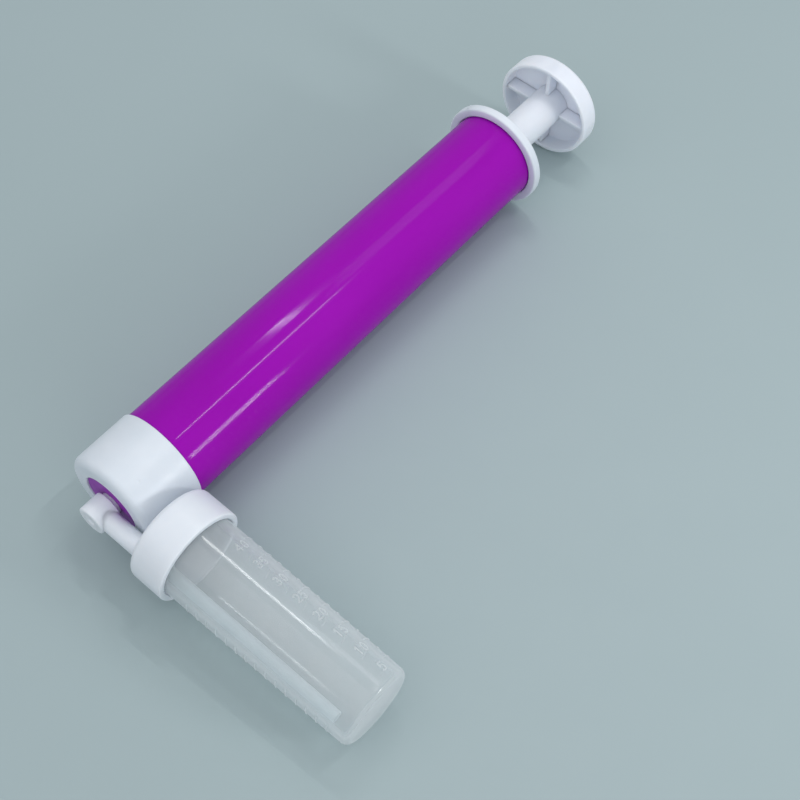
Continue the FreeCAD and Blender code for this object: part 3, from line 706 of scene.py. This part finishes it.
def jar_part():
    """Jar with raised graduations; the wall is finely divided only where they are."""
    columns = np.radians(np.concatenate((np.arange(0, 36, 2.0), np.arange(36, 80, 0.55),
                                         np.arange(80, 360, 2.0))))
    outer = [(-MOUTH, MOUTH_BORE), (-MOUTH, 15.2), (-MOUTH - 0.12, BEAD_RADIUS),
             (-MOUTH - 2.2, BEAD_RADIUS), (-MOUTH - 2.5, MOUTH_RADIUS)]
    drops = np.concatenate((np.arange(MOUTH + 5, FINE_TOP, 2.0),
                            np.arange(FINE_TOP, FINE_END, 0.14)))
    outer += [(-drop, outer_radius(drop)) for drop in drops]
    outer += arc_points((-100, outer_radius(100)), (-BASE, BASE_RADIUS), (-BASE, 5),
                        BASE_ROUND, 14)
    outer += [(-BASE, radius) for radius in (10.9, 10.0, 8.0, 5.0, 2.0)]
    floor = -BASE + FLOOR_WALL
    inner = [(floor, radius) for radius in (2.0, 5.0, 8.0)]
    inner += arc_points((floor, 5), (floor, FLOOR_BORE), (-100, 13.36), FLOOR_ROUND, 8)
    inner += [(-drop, inner_radius(drop)) for drop in np.arange(104, MOUTH + 1, -4.0)]
    profile = np.array([tuple(point) for point in outer + inner], float)
    count, total = len(columns), len(profile)
    length = np.repeat(profile[:, 0], count)
    radius = np.repeat(profile[:, 1], count)
    angle = np.tile(columns, total)
    outside = np.repeat(np.arange(total) < len(outer), count)
    raised = outside & (length < -RELIEF_TOP) & (length > -RELIEF_END)
    radius = radius + np.where(raised, relief(-length, angle), 0)
    points = np.stack((radius * np.cos(angle), length, radius * np.sin(angle)), 1)
    base_row, floor_row = len(outer) - 1, len(outer)
    faces = ring_faces([row for row in range(total) if row != base_row], total, count)
    for row in (base_row, floor_row):
        faces.append(tuple(row * count + column for column in range(count)))
    return points, faces


jar = piece("jar_shell", jar_part(), JAR, MATERIALS["jar_frosted"], "graduated_jar", sharp=50)
# The raised marks get the milkier, whiter material, a painted highlight that makes the ridges
# stand out.
jar.data.materials.append(MATERIALS["jar_raised_painted_bright"])
to_jar = JAR.inverted()
for polygon in jar.data.polygons:
    middle = (to_jar @ polygon.center) / MM
    drop, out = -middle.y, math.hypot(middle.x, middle.z)
    if RELIEF_TOP < drop < RELIEF_END and out > outer_radius(drop) + RAISED / 2:
        polygon.material_index = 1


# ---------------------------------------------------------------- CAD pieces kept as they are

for node in ("plug_o_ring", "rod_plug", "piston_seal", "piston_backing", "piston_washer",
             "piston_screw", "spigot_o_ring", "lid_gasket"):
    thing = frame["nodes"][node]
    thing.data.materials.clear()
    thing.data.materials.append(MATERIALS[SLOTS[node]])


# ---------------------------------------------------------------- floor, light and camera

def floor_material():
    """Pale grey-green studio floor."""
    n = Nodes("studio_floor")
    colour = n.ramp(n.noise(3.0, detail=3), (0.345, 0.425, 0.435), (0.365, 0.445, 0.458))
    rough = n.span(n.noise(40, detail=2), 0.55, 0.7)
    normal = n.bump(n.noise(900, detail=2), 1e-5)
    return n.finish(n.plastic(colour, rough, normal, IOR=1.4).outputs["BSDF"])


HALF_FLOOR = 3
floor_mesh = bpy.data.meshes.new("floor")
floor_mesh.from_pydata([(-HALF_FLOOR, -HALF_FLOOR, 0), (HALF_FLOOR, -HALF_FLOOR, 0),
                        (HALF_FLOOR, HALF_FLOOR, 0), (-HALF_FLOOR, HALF_FLOOR, 0)],
                       [], [(0, 1, 2, 3)])
floor = bpy.data.objects.new("floor", floor_mesh)
bpy.context.scene.collection.objects.link(floor)
floor_mesh.materials.append(floor_material())


def lamp(name, place, aim, size, power, colour=(1, 1, 1)):
    """Rectangular lamp at a place, turned to its aim."""
    data = bpy.data.lights.new(name, "AREA")
    data.shape = "RECTANGLE"
    data.size, data.size_y = size
    data.energy = power
    data.color = colour
    thing = bpy.data.objects.new(name, data)
    bpy.context.scene.collection.objects.link(thing)
    thing.location = place
    direction = Vector(aim) - Vector(place)
    thing.rotation_euler = direction.to_track_quat("-Z", "Y").to_euler()


CENTRE = Vector((0, 0, 0.02))
lamp("top_box", (-0.55, 0.15, 1.1), CENTRE, (1.3, 1.3), 3.7, (1.0, 0.99, 0.98))
lamp("side_box", (-0.55, -0.75, 0.42), CENTRE, (0.5, 0.28), 0.9, (0.95, 0.98, 1.0))
lamp("strip_a", (0.27, -0.231, 0.82), (0.27, -0.231, 0), (0.24, 0.005), 0.8)
lamp("strip_b", (0.316, 0.22, 0.82), (0.316, 0.22, 0), (0.005, 0.24), 0.8)
lamp("low_patch", (0.18, -0.68, 0.30), (-0.07, 0.03, 0.03), (0.13, 0.12), 1.2)
lamp("rear_box", (0.46, 0.01, 0.77), (0.03, 0.04, 0.038), (0.27, 0.20), 0.3)

world = bpy.data.worlds.new("studio")
bpy.context.scene.world = world
world.use_nodes = True
background = world.node_tree.nodes["Background"]
background.inputs["Color"].default_value = (0.90, 0.95, 1.0, 1)
background.inputs["Strength"].default_value = 0.60

AIM = Vector((-0.02135, 0.00047, 0.018))
FORWARD = Vector((0.4168, 0.3336, -0.8456)).normalized()
UPWARD = Vector((0.6392, 0.5538, 0.5336))
DISTANCE, LENS = 0.4593, 60.316
camera_data = bpy.data.cameras.new("camera")
camera_data.lens = LENS
camera_data.sensor_width = 36.0
camera_data.clip_start = 0.01
camera = bpy.data.objects.new("camera", camera_data)
bpy.context.scene.collection.objects.link(camera)
RIGHT = FORWARD.cross(UPWARD).normalized()
camera.matrix_world = (Matrix.Translation(AIM - FORWARD * DISTANCE)
                       @ Matrix((RIGHT, RIGHT.cross(FORWARD), -FORWARD)).transposed().to_4x4())
bpy.context.scene.camera = camera
bpy.context.scene.view_settings.view_transform = "Standard"
